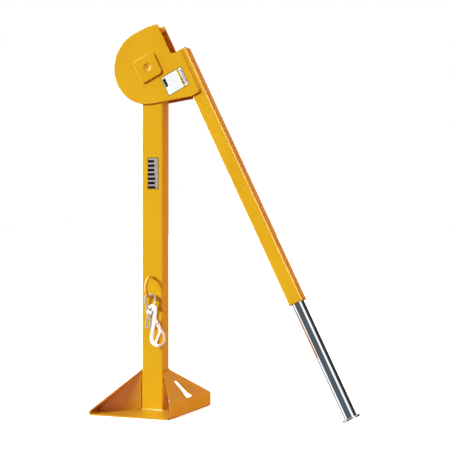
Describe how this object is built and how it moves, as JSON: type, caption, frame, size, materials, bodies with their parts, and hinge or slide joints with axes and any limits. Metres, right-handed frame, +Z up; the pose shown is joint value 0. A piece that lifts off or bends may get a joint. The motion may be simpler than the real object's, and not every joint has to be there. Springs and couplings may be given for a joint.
{
  "type": "wire rope puller",
  "caption": "Standing lever puller: folded steel base with a chain slot, rectangular column, pivoting two-plate head, square lever with a sliding chrome handle, snap hook on a keeper ring.",
  "frame": {"origin": "column axis on the floor, on the underside of the floor plate", "axes": "+X from the column towards the lever side, +Y to the back, +Z up along the column; the front, with the keeper ring and labels, faces -Y"},
  "size_m": [0.7181, 0.275, 1.0663],
  "materials": {
    "yellow_paint": "satin powder coat, orange-yellow",
    "bare_steel": "turned steel, lightly greased",
    "spring_steel": "phosphated spring steel",
    "zinc_plate": "bright zinc plate",
    "nylon": "black moulded nylon",
    "chrome_plate": "polished chrome plate",
    "hook_plate": "bright plated casting",
    "webbing": "white woven webbing",
    "label_film": "printed label film"
  },
  "bodies": {
    "stand": {"floor_plate": "yellow_paint", "toe_plate": "yellow_paint", "slot_plate": "yellow_paint", "toe_gusset_front": "yellow_paint", "toe_gusset_back": "yellow_paint", "column_tube": "yellow_paint", "base_welds": "yellow_paint", "pivot_bush": "yellow_paint", "thrust_washer_front": "bare_steel", "thrust_washer_back": "bare_steel", "keeper_ring": "yellow_paint", "ring_welds": "yellow_paint", "column_label": "label_film"},
    "lever": {"pivot_pin": "bare_steel", "head_plate_front": "yellow_paint", "head_plate_back": "yellow_paint", "boss_plate_front": "yellow_paint", "boss_plate_back": "yellow_paint", "rope_pin": "yellow_paint", "stop_bar": "yellow_paint", "lever_tube": "yellow_paint", "head_welds": "yellow_paint", "mouth_bush": "nylon", "bush_screws": "zinc_plate", "head_label": "label_film"},
    "handle": {"handle_tube": "chrome_plate", "handle_end_cap": "chrome_plate", "guide_plug": "nylon", "plug_roll_pin": "spring_steel", "brake_spring": "spring_steel"},
    "snap": {"snap_hook_body": "hook_plate", "gate_rivet": "hook_plate", "gate_spring": "spring_steel", "lanyard": "webbing"},
    "gate": {"snap_gate": "hook_plate"},
    "eye": {"swivel_eye": "hook_plate"}
  },
  "joints": [
    {"name": "lever_swing", "type": "hinge", "parent": "stand", "child": "lever", "pos_m": [-0.0095, 0, 0.9475], "axis": [0, -1, 0], "range_deg": [-22, 150]},
    {"name": "handle_slide", "type": "slide", "parent": "lever", "child": "handle", "axis": [0.4415, 0, -0.8973], "range_m": [-0.325, 0.098]},
    {"name": "snap_swing", "type": "hinge", "parent": "stand", "child": "snap", "pos_m": [0.003, -0.033, 0.318], "axis": [0, -1, 0], "range_deg": [-50, 50]},
    {"name": "gate_swing", "type": "hinge", "parent": "snap", "child": "gate", "pos_m": [0.00478, -0.033, 0.27495], "axis": [0, -1, 0], "range_deg": [0, 18], "stiffness_Nm_per_rad": 0.25, "springref_deg": -20.05, "deforming": ["gate_spring"]},
    {"name": "eye_spin", "type": "hinge", "parent": "snap", "child": "eye", "pos_m": [-0.00531, -0.033, 0.24866], "axis": [0.0785, 0, 0.9969], "continuous": true}
  ]
}
